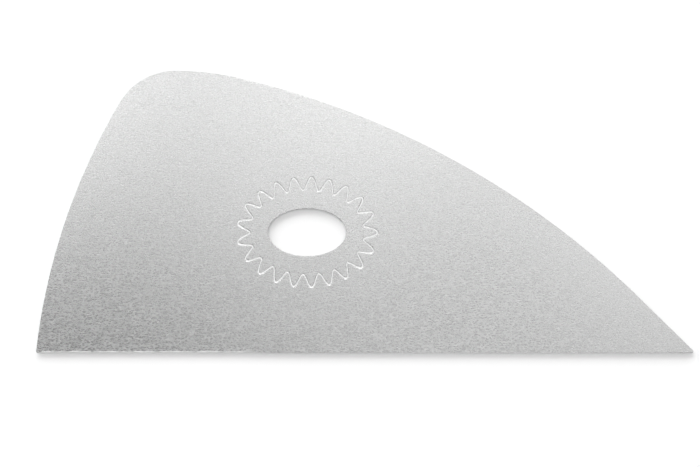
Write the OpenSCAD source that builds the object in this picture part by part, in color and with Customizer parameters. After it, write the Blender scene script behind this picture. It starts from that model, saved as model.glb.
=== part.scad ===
// Metal pottery rib: one thin flat blade with a long curved back, a point, a steep heel and an oval finger hole.
// Millimetres, +Z up. The blade lies flat on z = 0, with its length along X and its point towards +X.
// The outline is worked out from the heel corner and the straight base line, then centred on the origin.

/* [Blade] */
// Length from the heel edge to the point
blade_length = 139.7; // [130:0.1:150]
// Height from the straight base to the crown of the back
blade_height = 59.9; // [54:0.1:64]
// Thickness of the sheet
thickness = 0.5; // [0.3:0.05:1.2]
// Width of the small bevel that takes the sharpness off every edge
edge_break = 0.08; // [0.02:0.01:0.12]
// Radius of the two small corners where the base ends
corner_radius = 0.3; // [0.2:0.05:1]

/* [Heel and nose] */
// Angle between the base and the heel edge at the heel corner
heel_angle = 83.4; // [78:0.1:88]
// Radius of the long shallow curve of the heel edge
heel_radius = 134; // [115:1:170]
// Radius of the round nose above the heel
nose_radius = 13.75; // [10:0.25:18]

/* [Back and point] */
// Radius of the shoulder, from the crown down to the back
shoulder_radius = 60; // [50:1:75]
// Radius of the long curve of the back
back_radius = 180; // [165:1:200]
// Length of the straight run that ends the back at the point
point_run = 16; // [8:0.5:24]

/* [Finger hole] */
// Width of the finger hole, along the blade
hole_width = 16.6; // [12:0.1:24]
// Height of the finger hole, across the blade
hole_height = 10.1; // [8:0.1:18]
// Distance of the middle of the hole from the heel end
hole_from_heel = 57.6; // [50:0.1:66]
// Distance of the middle of the hole from the base
hole_from_base = 25.6; // [20:0.1:32]

/* [Hidden] */

// Each tighter arc stands this proud of the wider stretch beside it, so that the two cross in a clean line.
proud = 0.005;
// Length by which each tighter arc runs on under the wider stretch beside it
lap = 3;
// How far each stretch of the rim reaches in from the outline
rim_depth = 8;
// How far the corners of the core stay inside the outline
core_depth = 1;
// How far cutting shapes reach past the faces that they cut
past = 1;
right_angle = 90;
// Facets of the viewer's mesh round a full circle
smoothness = 180;
steel = [0.78, 0.79, 0.8];

// Unit vector at an angle from +X, and the angle of a vector.
function toward(angle) = [cos(angle), sin(angle)];
function heading(v) = atan2(v.y, v.x);

// Angle that `lap` takes up on an arc.
function lap_angle(radius) = lap / radius * 180 / PI;

// Lower crossing of two circles whose centres run from left to right.
function lower_crossing(c1, r1, c2, r2) =
    let (gap = c2 - c1, span = norm(gap), along = gap / span)
    let (reach = (r1 * r1 - r2 * r2 + span * span) / (2 * span))
    let (drop = sqrt(r1 * r1 - reach * reach))
    c1 + reach * along + drop * [along.y, -along.x];

// Centres of the arcs. Two arcs that run smoothly into each other have their centres on one line
// with the place where they meet.
corner_rise = corner_radius - proud;
heel_corner = [corner_radius, corner_rise];
point_corner = [blade_length - corner_radius, corner_rise];
heel_centre = heel_corner + (heel_radius - corner_radius + proud) * toward(heel_angle - right_angle);
nose_top = blade_height - nose_radius;
nose_reach = sqrt(pow(heel_radius - nose_radius + proud, 2) - pow(nose_top - heel_centre.y, 2));
nose_centre = [heel_centre.x - nose_reach, nose_top];
shoulder_centre = [nose_centre.x, blade_height - proud - shoulder_radius];
shoulder_to_back = back_radius - shoulder_radius + proud;
point_offset = [back_radius - corner_radius, -point_run];
back_centre = lower_crossing(shoulder_centre, shoulder_to_back, point_corner, norm(point_offset));

// Angles at which the stretches meet, going round from the point to the heel.
point_angle = heading(point_corner - back_centre) - heading(point_offset);
back_angle = heading(shoulder_centre - back_centre);
crown_angle = right_angle;
nose_angle = heading(nose_centre - heel_centre);
heel_end_angle = right_angle + heel_angle;

// Section of the rim, with both edges bevelled: x runs outwards to the edge at `radius` and y is the height.
module rim_section(radius) {
    inner = max(0, radius - rim_depth);
    polygon([
        [inner, 0],
        [radius - edge_break, 0],
        [radius, edge_break],
        [radius, thickness - edge_break],
        [radius - edge_break, thickness],
        [inner, thickness]
    ]);
}

// One arc of the rim.
module rim_arc(centre, radius, start, end) {
    translate(centre) rotate_extrude(angle = end - start, start = start, $fn = smoothness) rim_section(radius);
}

// All the arcs of the rim, from the point over the back and the nose to the heel.
module rim() {
    rim_arc(point_corner, corner_radius, 0, 360);
    rim_arc(back_centre, back_radius, point_angle - lap_angle(back_radius), back_angle);
    rim_arc(shoulder_centre, shoulder_radius, back_angle - lap_angle(shoulder_radius), crown_angle);
    nose_lap = lap_angle(nose_radius);
    rim_arc(nose_centre, nose_radius, crown_angle - nose_lap, nose_angle + nose_lap);
    rim_arc(heel_centre, heel_radius, nose_angle, heel_end_angle);
    rim_arc(heel_corner, corner_radius, 0, 360);
}

// Flat middle of the blade. It stays inside the arcs and stands past both straight edges, where it is cut off.
module core() {
    linear_extrude(thickness) polygon([
        [heel_corner.x, -past],
        heel_corner,
        heel_centre + (heel_radius - core_depth) * toward((heel_end_angle + nose_angle) / 2),
        nose_centre + (nose_radius - core_depth) * toward((nose_angle + crown_angle) / 2),
        shoulder_centre + (shoulder_radius - core_depth) * toward((crown_angle + back_angle) / 2),
        back_centre + (back_radius - core_depth) * toward((back_angle + point_angle) / 2),
        back_centre + (back_radius - core_depth) * toward(point_angle),
        back_centre + (back_radius + past) * toward(point_angle),
        point_corner + (corner_radius + past) * toward(point_angle),
        point_corner,
        [point_corner.x, -past]
    ]);
}

// Everything past a straight edge that runs `length` along +X with the blade on its +Y side. A lip over each face
// bevels the two edges.
module past_edge(length) {
    lip = edge_break + past;
    low = -rim_depth - past;
    translate([-lap, 0, 0]) rotate([right_angle, 0, right_angle]) linear_extrude(length + 2 * lap) polygon([
        [low, -past],
        [lip, -past],
        [0, edge_break],
        [0, thickness - edge_break],
        [lip, thickness + past],
        [low, thickness + past]
    ]);
}

// Oval plug of the finger hole, flared at both faces to bevel the edges of the hole.
module finger_hole() {
    half = hole_width / 2;
    flare = half + edge_break + past;
    translate([hole_from_heel, hole_from_base, 0]) scale([1, hole_height / hole_width, 1])
        rotate_extrude($fn = smoothness) polygon([
            [0, -past],
            [flare, -past],
            [half, edge_break],
            [half, thickness - edge_break],
            [flare, thickness + past],
            [0, thickness + past]
        ]);
}

module rib_blade() {
    color(steel) translate([-blade_length / 2, -blade_height / 2, 0]) difference() {
        union() {
            rim();
            core();
        }
        past_edge(blade_length);
        translate(point_corner + corner_rise * toward(point_angle)) rotate(point_angle + right_angle)
            past_edge(point_run);
        finger_hole();
    }
}

rib_blade();
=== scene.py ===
"""Looks of a metal pottery rib: one flat blade of stainless sheet with an engraved ring round its hole."""

import logging
from dataclasses import dataclass

import bpy
import numpy as np
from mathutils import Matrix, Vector


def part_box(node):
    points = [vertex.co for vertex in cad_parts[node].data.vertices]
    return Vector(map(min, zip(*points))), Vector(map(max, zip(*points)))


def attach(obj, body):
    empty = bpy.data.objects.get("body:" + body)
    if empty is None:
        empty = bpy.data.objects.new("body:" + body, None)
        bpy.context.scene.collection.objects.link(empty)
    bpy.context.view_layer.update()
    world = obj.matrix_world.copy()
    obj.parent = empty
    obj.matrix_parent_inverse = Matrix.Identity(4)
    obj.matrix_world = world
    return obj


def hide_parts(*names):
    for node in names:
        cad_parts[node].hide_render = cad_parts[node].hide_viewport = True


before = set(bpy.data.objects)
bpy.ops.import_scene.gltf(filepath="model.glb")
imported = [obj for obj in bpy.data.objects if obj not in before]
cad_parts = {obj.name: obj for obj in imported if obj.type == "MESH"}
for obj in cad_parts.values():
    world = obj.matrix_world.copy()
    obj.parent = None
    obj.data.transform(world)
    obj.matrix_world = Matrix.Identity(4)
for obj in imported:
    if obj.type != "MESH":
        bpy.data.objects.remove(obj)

LOG = logging.getLogger("rib")
MM = 0.001
NODE = "rib_blade"
BODY = "root"
# Steps of the fine tables that lengths and angles round the hole are read from.
FINE_STEPS = 20000


def linear_colour(hex_code: str) -> tuple[float, float, float, float]:
    """Turn an sRGB hex colour into linear light.

    Args:
        hex_code: Six hex digits after a hash mark.

    Returns:
        Red, green, blue and an alpha of one.
    """
    encoded = np.array([int(hex_code[i : i + 2], 16) for i in (1, 3, 5)]) / 255
    light = np.where(encoded <= 0.04045, encoded / 12.92, ((encoded + 0.055) / 1.055) ** 2.4)
    return (*light.tolist(), 1.0)


def unit(degrees: np.ndarray | float) -> np.ndarray:
    """Unit vectors at angles from +X.

    Args:
        degrees: One angle or an array of them.

    Returns:
        An array whose last axis holds x and y.
    """
    turn = np.radians(degrees)
    return np.stack([np.cos(turn), np.sin(turn)], axis=-1)


def heading(vector: np.ndarray) -> float:
    """Angle of a vector from +X, in degrees.

    Args:
        vector: x and y.

    Returns:
        The angle, from -180 to 180.
    """
    return float(np.degrees(np.arctan2(vector[1], vector[0])))


def fine_turns() -> np.ndarray:
    """Turns from -2 pi to 2 pi, which is twice round, in fine even steps."""
    return np.linspace(-2 * np.pi, 2 * np.pi, FINE_STEPS + 1)


def direction(azimuth: float, elevation: float) -> Vector:
    """Unit vector towards a place round the blade: (cos e cos a, cos e sin a, sin e).

    Args:
        azimuth: Angle a from +X, in degrees.
        elevation: Angle e above the table, in degrees.

    Returns:
        The vector.
    """
    turn, rise = np.radians(azimuth), np.radians(elevation)
    return Vector((np.cos(rise) * np.cos(turn), np.cos(rise) * np.sin(turn), np.sin(rise)))


def lower_crossing(c1: np.ndarray, r1: float, c2: np.ndarray, r2: float) -> np.ndarray:
    """Lower point where two circles cross, when their centres run from left to right.

    The point lies `reach` along the line of centres and `drop` to its right-hand side.

    Args:
        c1: Centre of the left circle.
        r1: Its radius.
        c2: Centre of the right circle.
        r2: Its radius.

    Returns:
        x and y of the crossing.
    """
    span = float(np.hypot(*(c2 - c1)))
    along = (c2 - c1) / span
    reach = (r1**2 - r2**2 + span**2) / (2 * span)
    drop = np.sqrt(r1**2 - reach**2)
    return c1 + reach * along + drop * np.array([along[1], -along[0]])


@dataclass
class BladeOutline:
    """Outline of the blade, in millimetres from the heel corner: tangent arcs and two straight edges."""

    length: float
    height: float
    heel_angle: float = 83.4
    heel_radius: float = 134.0
    nose_radius: float = 13.75
    shoulder_radius: float = 60.0
    back_radius: float = 180.0
    point_run: float = 16.0
    corner_radius: float = 0.3
    # Steps along the point's corner, the back, the shoulder, the nose, the heel edge and the heel's corner.
    arc_steps: tuple[int, ...] = (16, 500, 80, 90, 240, 12)
    run_steps: int = 80
    base_steps: int = 760
    # Two points nearer than this are one.
    same_place: float = 1e-6

    def arcs(self) -> list[tuple[np.ndarray, float, float, float, int]]:
        """Work out the arcs from the point's corner over the back to the heel's corner.

        Two neighbours have their centres on one line with the place where they meet. The point's corner and
        the back are joined by the straight run that is tangent to both.

        Returns:
            Centre, radius, start angle, end angle and number of steps of each arc.
        """
        corner = self.corner_radius
        heel_corner = np.array([corner, corner])
        point_corner = np.array([self.length - corner, corner])
        heel = heel_corner + (self.heel_radius - corner) * unit(self.heel_angle - 90)
        nose_top = self.height - self.nose_radius
        nose_reach = np.sqrt((self.heel_radius - self.nose_radius) ** 2 - (nose_top - heel[1]) ** 2)
        nose = np.array([heel[0] - nose_reach, nose_top])
        shoulder = np.array([nose[0], self.height - self.shoulder_radius])
        offset = np.array([self.back_radius - corner, -self.point_run])
        span = float(np.hypot(*offset))
        back = lower_crossing(shoulder, self.back_radius - self.shoulder_radius, point_corner, span)
        point_turn = heading(point_corner - back) - heading(offset)
        back_turn = heading(shoulder - back)
        nose_turn = heading(nose - heel)
        heel_turn = 90 + self.heel_angle
        steps = self.arc_steps
        return [
            (point_corner, corner, -90.0, point_turn, steps[0]),
            (back, self.back_radius, point_turn, back_turn, steps[1]),
            (shoulder, self.shoulder_radius, back_turn, 90.0, steps[2]),
            (nose, self.nose_radius, 90.0, nose_turn, steps[3]),
            (heel, self.heel_radius, nose_turn, heel_turn, steps[4]),
            (heel_corner, corner, heel_turn, 270.0, steps[5]),
        ]

    def points(self) -> tuple[np.ndarray, np.ndarray]:
        """Points along the outline and their outward normals, once round and anticlockwise.

        Returns:
            Two arrays with a row of x and y for each point.
        """
        places, normals = [], []
        for index, (centre, radius, start, end, steps) in enumerate(self.arcs()):
            turns = np.linspace(start, end, steps + 1)
            places.append(centre + radius * unit(turns))
            normals.append(unit(turns))
            # The straight run follows the point's corner.
            if index == 0:
                share = np.linspace(0, 1, self.run_steps, endpoint=False)[1:, None]
                run = self.point_run * unit(end + 90)
                places.append(places[-1][-1] + share * run)
                normals.append(np.repeat(unit(end)[None], len(share), axis=0))
        share = np.linspace(0, 1, self.base_steps, endpoint=False)[1:, None]
        places.append(places[-1][-1] * (1 - share) + places[0][0] * share)
        normals.append(np.repeat(unit(-90.0)[None], len(share), axis=0))
        place, normal = np.concatenate(places), np.concatenate(normals)
        fresh = np.hypot(*(place - np.roll(place, 1, axis=0)).T) > self.same_place
        return place[fresh], normal[fresh]


@dataclass
class FingerHole:
    """Oval finger hole and the curves round it at a fixed distance, in millimetres from the heel corner."""

    width: float = 16.6
    height: float = 10.1
    from_heel: float = 57.6
    from_base: float = 25.6

    def ring(self, turn: np.ndarray, gap: np.ndarray | float) -> np.ndarray:
        """Points at a distance outside the hole's edge.

        Formula: the ellipse (a cos t, b sin t), moved by the gap along its own normal, which is
        (b cos t, a sin t) / length.

        Args:
            turn: The ellipse's parameter t, in radians.
            gap: Distance from the hole's edge.

        Returns:
            A row of x and y for each point.
        """
        a, b = self.width / 2, self.height / 2
        edge = np.stack([a * np.cos(turn), b * np.sin(turn)], axis=-1)
        normal = self.normal(turn)
        return np.array([self.from_heel, self.from_base]) + edge + np.asarray(gap)[..., None] * normal

    def normal(self, turn: np.ndarray) -> np.ndarray:
        """Unit normals of the hole's edge that point away from the hole.

        Args:
            turn: The ellipse's parameter t, in radians.

        Returns:
            A row of x and y for each point.
        """
        a, b = self.width / 2, self.height / 2
        across = np.stack([b * np.cos(turn), a * np.sin(turn)], axis=-1)
        return across / np.linalg.norm(across, axis=-1, keepdims=True)

    def turns_towards(self, places: np.ndarray, gap: float) -> np.ndarray:
        """Find where the ring at a gap meets the lines from the hole's middle to some places.

        Args:
            places: A row of x and y for each place.
            gap: Distance of the ring from the hole's edge.

        Returns:
            The ellipse's parameter t of each meeting, in radians. It rises all the way round.
        """
        middle = np.array([self.from_heel, self.from_base])
        fine = fine_turns()
        seen = self.ring(fine, gap) - middle
        seen_angle = np.unwrap(np.arctan2(seen[:, 1], seen[:, 0]))
        seen_angle -= seen_angle[FINE_STEPS // 2]
        wanted = places - middle
        wanted_angle = np.unwrap(np.arctan2(wanted[:, 1], wanted[:, 0]))
        return np.interp(wanted_angle, seen_angle, fine)


@dataclass
class WaveRing:
    """Engraved ornament round the hole: one even wave, cut as a shallow round groove, in millimetres."""

    middle_gap: float = 5.25
    swing: float = 1.35
    waves: int = 21
    groove_width: float = 0.5
    groove_depth: float = 0.07
    # Shares of the depth below which the groove is shiny and above which it is matt.
    shiny_below: float = 0.4
    matt_above: float = 0.775
    steps_across: int = 10
    # Distance of the face's first row from the groove's side, in half widths.
    beside: float = 0.03

    def rows(self, hole: FingerHole, turn: np.ndarray) -> list[tuple[np.ndarray, np.ndarray]]:
        """Rows of the groove, each as the gap from the hole's edge and the depth under the blade's face.

        Formula: a wave's middle runs at gap + swing * cos(waves * s), where s goes evenly from 0 to 2 pi
        along the ring. The rows beside it are spread by sqrt(1 + slope^2), so that the groove keeps its width
        where the wave is steep, and the depth across it is one cosine wave. A row just outside each side
        keeps the face flat.

        Args:
            hole: The hole that the ring runs round.
            turn: The ellipse's parameter t at each column, in radians.

        Returns:
            Gap and depth at each column, row by row, going outwards.
        """
        fine = fine_turns()
        track = hole.ring(fine, self.middle_gap)
        run = np.concatenate([[0], np.cumsum(np.hypot(*np.diff(track, axis=0).T))])
        # The table goes round twice.
        round_length = run[-1] / 2
        phase = np.interp(turn, fine, run) / round_length * 2 * np.pi * self.waves
        slope = self.swing * np.sin(phase) * 2 * np.pi * self.waves / round_length
        spread = self.groove_width / 2 * np.sqrt(1 + slope**2)
        centre = self.middle_gap + self.swing * np.cos(phase)
        pairs = zip(self.across(), self.depths())
        return [(centre + spread * place, np.full_like(centre, depth)) for place, depth in pairs]

    def across(self) -> np.ndarray:
        """Places across the groove, in half widths from its middle, with one more beyond each side.

        Returns:
            One number for each row.
        """
        inside = np.linspace(-1, 1, self.steps_across + 1)
        return np.concatenate([[-1 - self.beside], inside, [1 + self.beside]])

    def depths(self) -> np.ndarray:
        """Depth of the groove at those places: one cosine wave across it.

        Returns:
            One number for each row.
        """
        return self.groove_depth * (0.5 + 0.5 * np.cos(np.pi * np.clip(self.across(), -1, 1)))

    def matt_share(self) -> np.ndarray:
        """Share of matt surface at those places: none at the groove's sides, all of it on its floor.

        Formula: the depth's share of the whole, stretched from the range between both bounds over 0 to 1.

        Returns:
            One number for each row.
        """
        share = self.depths() / self.groove_depth
        return np.clip((share - self.shiny_below) / (self.matt_above - self.shiny_below), 0, 1)

    def row_count(self) -> int:
        """Count the groove's rows."""
        return len(self.across())


def add_node(
    tree: bpy.types.NodeTree, kind: str, settings: dict | None = None, **links: object
) -> bpy.types.Node:
    """Add a node with its settings, socket values and links.

    Args:
        tree: The node tree to add to.
        kind: Blender's name for the node type.
        settings: Attributes of the node itself.
        **links: Name of a socket, with underscores for spaces, or in and its number. It is given a value or
            the output socket that feeds it.

    Returns:
        The new node.
    """
    node = tree.nodes.new(kind)
    for name, value in (settings or {}).items():
        setattr(node, name, value)
    for name, value in links.items():
        label = name.replace("_", " ")
        number = label.removeprefix("in")
        socket = node.inputs[int(number) if number.isdigit() else label]
        if isinstance(value, bpy.types.NodeSocket):
            tree.links.new(value, socket)
        else:
            socket.default_value = value
    return node


def new_material(name: str) -> tuple[bpy.types.Material, bpy.types.NodeTree]:
    """Make an empty node material.

    Args:
        name: Name of the material.

    Returns:
        The material and its node tree.
    """
    material = bpy.data.materials.new(name)
    material.use_nodes = True
    material.node_tree.nodes.clear()
    return material, material.node_tree


@dataclass(frozen=True)
class RolledStainless:
    """Cold-rolled stainless sheet with a satin face, pale and matt where engraved and on the base's edge.

    The rolls leave short specks and faint streaks along the sheet. The eye reads them as a soft grey that
    sparkles where it is dark and brightens evenly towards the light. An engraved place scatters the light, so
    it looks frosted and nearly white. On the base's upper edge the same pale matt is a painted highlight, in
    place of the light that the edge catches. Lengths and widths are in millimetres.
    """

    colour: str = "#C9C9C9"
    smoothest: float = 0.237
    roughest: float = 0.437
    # Above one, most of the face is smooth and a few rougher specks stand out pale.
    speck_power: float = 2.2
    # The sheen of a rolled face is wider across the grain than along it.
    anisotropy: float = 0.35
    # Roll marks are about 0.02 mm wide and too fine to show, so they are drawn over seven times as coarse.
    speck_length: float = 0.5
    speck_width: float = 0.15
    speck_height: float = 0.003
    speck_tone: float = 0.004
    # Faint streaks from the rolls, one every few tenths of a millimetre.
    streak_length: float = 4.0
    streak_width: float = 0.25
    streak_share: float = 0.24
    # The usual range of a noise.
    noise_low: float = 0.3
    noise_high: float = 0.7
    # Pale frosting of the engraving; on the base's upper edge the same pale matt is a painted highlight.
    frost_and_highlight_colour: str = "#F4F4F4"
    matt_roughness: float = 0.6
    matt_metal: float = 0.2

    def build(self) -> bpy.types.Material:
        """Build the material.

        Formula: specks and streaks are noises over x / length, y / width and z / width. The grain is their
        mix, stretched from its usual range over 0 to 1. The roughness goes from the smoothest to the roughest
        with a power of the grain, and the tone with the grain itself.

        Returns:
            The finished material, which reads Object coordinates, the piece's UV map and its matt attribute.
        """
        material, tree = new_material("rolled_stainless")
        place = add_node(tree, "ShaderNodeTexCoord").outputs["Object"]
        marks = []
        for length, width in ((self.speck_length, self.speck_width), (self.streak_length, self.streak_width)):
            scale = (1 / (length * MM), 1 / (width * MM), 1 / (width * MM))
            stretched = add_node(tree, "ShaderNodeMapping", None, Vector=place, Scale=scale).outputs[0]
            noise = add_node(tree, "ShaderNodeTexNoise", None, Vector=stretched, Scale=1.0, Detail=0.0)
            marks.append(noise.outputs[0])
        mixed = add_node(
            tree, "ShaderNodeMix", {"data_type": "FLOAT"}, in0=self.streak_share, in2=marks[0], in3=marks[1]
        )
        grain = add_node(
            tree, "ShaderNodeMapRange", None,
            Value=mixed.outputs[0], From_Min=self.noise_low, From_Max=self.noise_high,
        ).outputs[0]
        tone = add_node(
            tree, "ShaderNodeMapRange", None,
            Value=grain, To_Min=1 - self.speck_tone, To_Max=1 + self.speck_tone,
        )
        steel = add_node(
            tree, "ShaderNodeVectorMath", {"operation": "SCALE"},
            in0=linear_colour(self.colour)[:3], Scale=tone.outputs[0],
        )
        pale = add_node(tree, "ShaderNodeMath", {"operation": "POWER"}, in0=grain, in1=self.speck_power)
        satin = add_node(
            tree, "ShaderNodeMapRange", None,
            Value=pale.outputs[0], To_Min=self.smoothest, To_Max=self.roughest,
        )
        matt = add_node(tree, "ShaderNodeAttribute", {"attribute_name": "matt"}).outputs["Fac"]
        colour = add_node(
            tree, "ShaderNodeMix", {"data_type": "RGBA"},
            in0=matt, in6=steel.outputs[0], in7=linear_colour(self.frost_and_highlight_colour),
        )
        rough = add_node(
            tree, "ShaderNodeMix", {"data_type": "FLOAT"},
            in0=matt, in2=satin.outputs[0], in3=self.matt_roughness,
        )
        metal = add_node(
            tree, "ShaderNodeMix", {"data_type": "FLOAT"}, in0=matt, in2=1.0, in3=self.matt_metal
        )
        bump = add_node(
            tree, "ShaderNodeBump", None, Strength=1.0, Distance=self.speck_height * MM, Height=grain
        )
        tangent = add_node(tree, "ShaderNodeTangent", {"direction_type": "UV_MAP", "uv_map": "plan"})
        shader = add_node(
            tree, "ShaderNodeBsdfPrincipled", None,
            Base_Color=colour.outputs[2], Metallic=metal.outputs[0], Roughness=rough.outputs[0],
            Anisotropic=self.anisotropy, Normal=bump.outputs[0], Tangent=tangent.outputs[0],
        )
        add_node(tree, "ShaderNodeOutputMaterial", None, Surface=shader.outputs[0])
        return material


@dataclass
class RibBlade:
    """The blade: a closed sheet with rounded edges, a finger hole and an engraved ring, in millimetres.

    The corner is where the blade's box starts. Towards the heel the base's upper edge has a wider rounding,
    and its pale matt colour there is a painted highlight.
    """

    outline: BladeOutline
    hole: FingerHole
    ring: WaveRing
    corner: np.ndarray
    thickness: float
    edge_radius: float = 0.08
    wide_reach: float = 0.42
    wide_drop: float = 0.2
    # Where the wider rounding and its painted highlight start and end along the base,
    # and the lengths over which they come and go.
    widening_and_highlight_from: float = 1.0
    widening_and_highlight_to: float = 46.0
    widening_and_highlight_rise: float = 0.5
    widening_and_highlight_fade: float = 4.0
    # The middle share of the wider rounding, and the height, radians a millimetre and start of each wave in
    # it.
    ripple_middle: float = 0.72
    ripples: tuple[tuple[float, float, float], ...] = ((0.14, 0.9, 0.0), (0.1, 2.3, 2.0), (0.04, 5.1, 1.0))
    # An outward normal whose y is below this belongs to the base.
    base_facing: float = -0.99
    edge_steps: int = 4
    # Distance of the face's first row from a rounded edge.
    beside: float = 0.03
    # Gap from the hole to the row that parts the ring from the rest of the face.
    ring_margin: float = 7.3

    def build(self, finish: RolledStainless) -> bpy.types.Object:
        """Build the blade and dress it.

        Args:
            finish: The blade's finish.

        Returns:
            The blade's object, in the row frame and in metres.
        """
        edge, normal = self.outline.points()
        turn = self.hole.turns_towards(edge, self.ring_margin)
        upper = self.upper_rows(edge, normal, turn)
        grid = np.stack(upper + self.lower_rows(edge, normal, turn))
        grid += self.corner
        # The groove's rows follow the hole's rounding and one flat row, and the rim's rows come last.
        groove, rim = self.edge_steps + 2, len(upper) - self.edge_steps - 1
        matt = np.zeros(grid.shape[:2])
        matt[groove : groove + self.ring.row_count()] = self.ring.matt_share()[:, None]
        # Painted highlight: the base's wider rounding takes the pale matt colour, in place of the light that
        # its edge catches.
        matt[rim : len(upper)] = self.rim_widening_and_highlight(edge, normal).T
        blade = self.mesh_object("rib_blade_sheet", grid * MM, matt)
        blade.data.materials.append(finish.build())
        return blade

    def rounded(self) -> list[tuple[float, float]]:
        """Quarter-round of an edge, from the wall to the face, for a radius of one.

        Formula: at angle q the edge stands 1 - cos q in from the wall and 1 - sin q below the face.

        Returns:
            Distance in from the wall and distance below the face, step by step.
        """
        quarter = np.linspace(0, np.pi / 2, self.edge_steps + 1)
        return [(1 - np.cos(q), 1 - np.sin(q)) for q in quarter]

    def rim_widening_and_highlight(self, edge: np.ndarray, normal: np.ndarray) -> np.ndarray:
        """Share of the base's wider rounding towards the heel, and of its painted highlight, along the
        outline.

        Formula: window * ripple, where the window is 1 between both ends of that stretch and fades out by
        tanh, and the ripple is three sine waves of unlike length on a middle share.

        Args:
            edge: Points of the outline.
            normal: Outward normals there.

        Returns:
            A column with one share for each point.
        """
        x = edge[:, 0]
        rise = np.tanh((x - self.widening_and_highlight_from) / self.widening_and_highlight_rise)
        fade = np.tanh((x - self.widening_and_highlight_to) / self.widening_and_highlight_fade)
        window = 0.5 * (rise - fade)
        ripple = np.full_like(x, self.ripple_middle)
        for high, rate, start in self.ripples:
            ripple += high * np.sin(x * rate + start)
        return np.where(normal[:, 1] < self.base_facing, window * ripple, 0.0)[:, None]

    def row(self, plan: np.ndarray, height: np.ndarray | float) -> np.ndarray:
        """Put heights to a row of plan points.

        Args:
            plan: A row of x and y for each column.
            height: One height or one for each column.

        Returns:
            A row of x, y and z for each column.
        """
        return np.concatenate([plan, np.broadcast_to(height, len(plan))[:, None]], axis=1)

    def upper_rows(self, edge: np.ndarray, normal: np.ndarray, turn: np.ndarray) -> list[np.ndarray]:
        """Rows of the upper half, from the hole's wall over the engraved face to the outer wall.

        Args:
            edge: Points of the outline.
            normal: Outward normals there.
            turn: The hole's parameter at each column.

        Returns:
            Rows of x, y and z.
        """
        top, radius, widening = self.thickness, self.edge_radius, self.rim_widening_and_highlight(edge, normal)
        reach = radius + (self.wide_reach - radius) * widening
        fall = radius + (self.wide_drop - radius) * widening
        rows = []
        for inset, drop in self.rounded():
            rows.append(self.row(self.hole.ring(turn, radius * inset), top - radius * drop))
        rows.append(self.row(self.hole.ring(turn, radius + self.beside), top))
        for gap, depth in self.ring.rows(self.hole, turn):
            rows.append(self.row(self.hole.ring(turn, gap), top - depth))
        rows.append(self.row(self.hole.ring(turn, self.ring_margin), top))
        rows.append(self.row(edge - (reach + self.beside) * normal, top))
        for inset, drop in reversed(self.rounded()):
            rows.append(self.row(edge - reach * inset * normal, top - fall[:, 0] * drop))
        return rows

    def lower_rows(self, edge: np.ndarray, normal: np.ndarray, turn: np.ndarray) -> list[np.ndarray]:
        """Rows of the lower half, from the outer wall under the blade to the hole's wall.

        Args:
            edge: Points of the outline.
            normal: Outward normals there.
            turn: The hole's parameter at each column.

        Returns:
            Rows of x, y and z.
        """
        radius = self.edge_radius
        rows = [self.row(edge - radius * inset * normal, radius * drop) for inset, drop in self.rounded()]
        rows.append(self.row(edge - (radius + self.beside) * normal, 0.0))
        rows.append(self.row(self.hole.ring(turn, self.ring_margin), 0.0))
        rows.append(self.row(self.hole.ring(turn, radius + self.beside), 0.0))
        for inset, drop in reversed(self.rounded()):
            rows.append(self.row(self.hole.ring(turn, radius * inset), radius * drop))
        return rows

    def mesh_object(self, name: str, grid: np.ndarray, matt: np.ndarray) -> bpy.types.Object:
        """Turn a grid that is closed both ways into a mesh object with a plan UV map.

        The map's first axis runs along y, across the grain, because a finish's sheen is wide along that axis.

        Args:
            name: Name of the object.
            grid: Rows by columns of x, y and z, in metres.
            matt: Share of pale matt at each point: frosting in the groove, painted highlight on the base's
                edge.

        Returns:
            The object, at the origin.
        """
        count, columns = grid.shape[:2]
        index = np.arange(count * columns).reshape(count, columns)
        above, beside = np.roll(index, -1, axis=0), np.roll(index, -1, axis=1)
        across = np.roll(above, -1, axis=1)
        faces = np.stack([index, above, across, beside], axis=-1).reshape(-1, 4)
        mesh = bpy.data.meshes.new(name)
        places = grid.reshape(-1, 3)
        mesh.from_pydata(places.tolist(), [], faces.tolist())
        mesh.polygons.foreach_set("use_smooth", np.ones(len(faces), bool))
        plan = mesh.uv_layers.new(name="plan")
        corners = np.empty(len(mesh.loops), int)
        mesh.loops.foreach_get("vertex_index", corners)
        length = np.ptp(grid[..., 0])
        across_and_along = places[corners][:, [1, 0]] / length + 0.5
        plan.data.foreach_set("uv", across_and_along.ravel().astype(np.float32))
        shares = mesh.attributes.new("matt", "FLOAT", "POINT")
        shares.data.foreach_set("value", matt.ravel().astype(np.float32))
        mesh.validate()
        mesh.update()
        piece = bpy.data.objects.new(name, mesh)
        bpy.context.scene.collection.objects.link(piece)
        return piece


@dataclass(frozen=True)
class Lamp:
    """A soft lamp that looks at the blade. Its glow is the brightness of its face, where 1 is white.

    A lamp that isn't mirrored gives light and shadow, but draws no hard streak along polished edges. Angles
    are in degrees and lengths in metres.
    """

    name: str
    azimuth: float
    elevation: float
    distance: float
    width: float
    height: float
    glow: float
    mirrored: bool = True

    def build(self) -> None:
        """Make the lamp."""
        data = bpy.data.lights.new(self.name, "AREA")
        data.shape = "RECTANGLE"
        data.size = self.width
        data.size_y = self.height
        data.energy = self.glow * np.pi * self.width * self.height
        lamp = bpy.data.objects.new(self.name, data)
        lamp.visible_glossy = self.mirrored
        bpy.context.scene.collection.objects.link(lamp)
        away = direction(self.azimuth, self.elevation)
        lamp.location = away * self.distance
        lamp.rotation_euler = away.to_track_quat("Z", "Y").to_euler()


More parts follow.
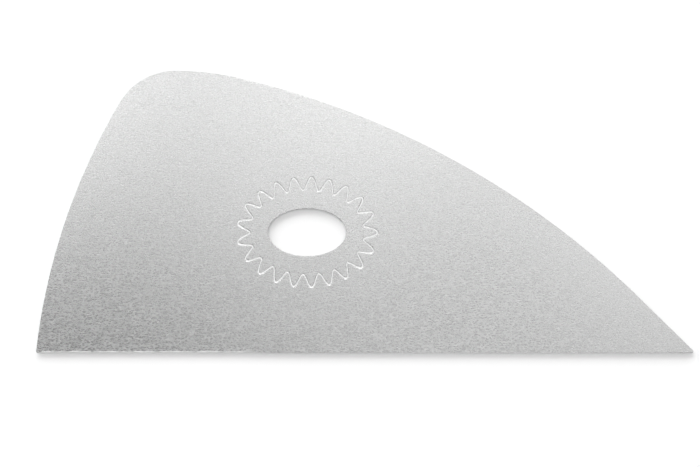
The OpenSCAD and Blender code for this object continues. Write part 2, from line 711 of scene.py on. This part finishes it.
@dataclass(frozen=True)
class Glow:
    """A soft patch of light on the walls and ceiling, brightest in its middle, where 1 is white.

    Formula: strength * exp(sharpness * (cos(angle to its middle) - 1)). Its own angles are in degrees.
    """

    name: str
    azimuth: float
    elevation: float
    sharpness: float
    strength: float

    def add(self, tree: bpy.types.NodeTree, way: bpy.types.NodeSocket, light: object) -> bpy.types.NodeSocket:
        """Add the patch to the light that is there so far.

        Args:
            tree: The world's node tree.
            way: The direction that is looked in.
            light: Light so far, as a number or a socket.

        Returns:
            The light with the patch.
        """
        cosine = add_node(
            tree, "ShaderNodeVectorMath", {"operation": "DOT_PRODUCT", "label": self.name},
            in0=way, in1=direction(self.azimuth, self.elevation),
        )
        fall = add_node(
            tree, "ShaderNodeMath", {"operation": "MULTIPLY_ADD"},
            in0=cosine.outputs["Value"], in1=self.sharpness, in2=-self.sharpness,
        )
        shape = add_node(tree, "ShaderNodeMath", {"operation": "EXPONENT"}, in0=fall.outputs[0])
        return add_node(
            tree, "ShaderNodeMath", {"operation": "MULTIPLY_ADD"},
            in0=shape.outputs[0], in1=self.strength, in2=light,
        ).outputs[0]


@dataclass
class Studio:
    """White table, a soft lamp, soft light from walls and ceiling, and the camera straight above."""

    ceiling: float = 0.005
    walls: float = 0.65
    backdrop_low: float = 0.45
    backdrop_high: float = 0.75
    # Width of the table in metres, and its gap under the blade in millimetres.
    table_size: float = 6.0
    table_gap: float = 0.16
    table_colour: str = "#F4F4F4"
    table_glow: float = 0.03
    lens: float = 60.0
    sensor: float = 36.0
    # Nearest distance that the camera sees, in metres.
    nearest_seen: float = 0.01
    # Width of the picture at the blade's upper face, and the camera's place, in millimetres.
    picture_width: float = 148.73
    camera_x: float = -3.13
    camera_y: float = -4.6
    lamps: tuple[Lamp, ...] = (Lamp("back_softbox", 110.0, 19.2, 6.0, 16.8, 2.5, 7.1, mirrored=False),)
    glows: tuple[Glow, ...] = (
        Glow("overhead", 117.0, 85.5, 110.0, 1.65),
        Glow("right", 18.0, 70.0, 70.0, 2.9),
        Glow("back_left", 148.0, 66.0, 100.0, 5.4),
        Glow("back", 83.0, 65.5, 80.0, 6.3),
        Glow("front", -75.0, 64.0, 75.0, 2.75),
        Glow("low_back", 95.0, 19.0, 8.0, 0.34),
        Glow("low_front", -90.0, 35.0, 6.0, 0.2),
    )

    def build(self, blade_top: float) -> None:
        """Make the table, the light and the camera.

        Args:
            blade_top: Height of the blade's upper face, in metres.
        """
        self.build_table()
        self.build_world()
        for lamp in self.lamps:
            lamp.build()
        self.build_camera(blade_top)

    def build_table(self) -> None:
        """Make the white table, which keeps the blade's shadow and looks white to the camera and in metal."""
        half, under = self.table_size / 2, -self.table_gap * MM
        corners = [(x * half, y * half, under) for x, y in ((-1, -1), (1, -1), (1, 1), (-1, 1))]
        mesh = bpy.data.meshes.new("table")
        mesh.from_pydata(corners, [], [(0, 1, 2, 3)])
        table = bpy.data.objects.new("table", mesh)
        bpy.context.scene.collection.objects.link(table)
        material, tree = new_material("table_white")
        paint = add_node(tree, "ShaderNodeBsdfDiffuse", None, Color=linear_colour(self.table_colour))
        strength = add_node(
            tree, "ShaderNodeMath", {"operation": "MULTIPLY"}, in0=self.seen(tree), in1=self.table_glow
        ).outputs[0]
        glow = add_node(tree, "ShaderNodeEmission", None, Strength=strength)
        both = add_node(tree, "ShaderNodeAddShader", None, in0=paint.outputs[0], in1=glow.outputs[0])
        add_node(tree, "ShaderNodeOutputMaterial", None, Surface=both.outputs[0])
        mesh.materials.append(material)

    def seen(self, tree: bpy.types.NodeTree) -> bpy.types.NodeSocket:
        """One for what the camera sees, also in the metal, and zero for light that falls on things.

        Args:
            tree: The tree to add the nodes to.

        Returns:
            The socket that says so.
        """
        path = add_node(tree, "ShaderNodeLightPath")
        seen = path.outputs["Is Camera Ray"]
        for kind in ("Is Glossy Ray", "Is Transmission Ray"):
            seen = add_node(
                tree, "ShaderNodeMath", {"operation": "MAXIMUM"}, in0=seen, in1=path.outputs[kind]
            ).outputs[0]
        return seen

    def build_world(self) -> None:
        """Make the soft light of the room: walls, a darker ceiling and patches of light on them.

        Formula: walls + (ceiling - walls) * z, where z is the height of the direction, and the patches on
        top. The camera and the metal see a white backdrop low down, which fades out between both backdrop
        heights.
        """
        world = bpy.data.worlds.new("soft_room")
        world.use_nodes = True
        tree = world.node_tree
        tree.nodes.clear()
        way = add_node(tree, "ShaderNodeTexCoord").outputs["Generated"]
        height = add_node(tree, "ShaderNodeSeparateXYZ", None, Vector=way).outputs["Z"]
        light = add_node(
            tree, "ShaderNodeMath", {"operation": "MULTIPLY_ADD"},
            in0=height, in1=self.ceiling - self.walls, in2=self.walls,
        ).outputs[0]
        for glow in self.glows:
            light = glow.add(tree, way, light)
        backdrop = add_node(
            tree, "ShaderNodeMapRange", {"interpolation_type": "SMOOTHSTEP"}, Value=height,
            From_Min=self.backdrop_low, From_Max=self.backdrop_high, To_Min=1.0, To_Max=0.0,
        ).outputs[0]
        share = add_node(
            tree, "ShaderNodeMath", {"operation": "MULTIPLY"}, in0=backdrop, in1=self.seen(tree)
        ).outputs[0]
        light = add_node(
            tree, "ShaderNodeMix", {"data_type": "FLOAT"}, in0=share, in2=light, in3=1.0
        ).outputs[0]
        room = add_node(tree, "ShaderNodeBackground", None, Color=(1, 1, 1, 1), Strength=light)
        add_node(tree, "ShaderNodeOutputWorld", None, Surface=room.outputs[0])
        bpy.context.scene.world = world

    def build_camera(self, blade_top: float) -> None:
        """Make the camera, straight above the blade and level with it.

        Args:
            blade_top: Height of the blade's upper face, in metres.
        """
        data = bpy.data.cameras.new("camera")
        data.lens = self.lens
        data.sensor_width = self.sensor
        data.clip_start = self.nearest_seen
        camera = bpy.data.objects.new("camera", data)
        bpy.context.scene.collection.objects.link(camera)
        distance = self.lens / self.sensor * self.picture_width * MM
        camera.location = (self.camera_x * MM, self.camera_y * MM, blade_top + distance)
        bpy.context.scene.camera = camera


def main() -> None:
    """Build the blade and the studio, and report each piece."""
    logging.basicConfig(level=logging.INFO, format="%(message)s")
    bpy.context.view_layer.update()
    low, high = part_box(NODE)
    size = (high - low) / MM
    outline = BladeOutline(length=size.x, height=size.y)
    blade = RibBlade(outline, FingerHole(), WaveRing(), corner=np.array(low) / MM, thickness=size.z)
    piece = blade.build(RolledStainless())
    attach(piece, BODY)
    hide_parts(NODE)
    LOG.info("%s: %d faces", piece.name, len(piece.data.polygons))
    Studio().build(high.z)
    bpy.context.scene.view_settings.view_transform = "Standard"


if __name__ == "__main__":
    main()
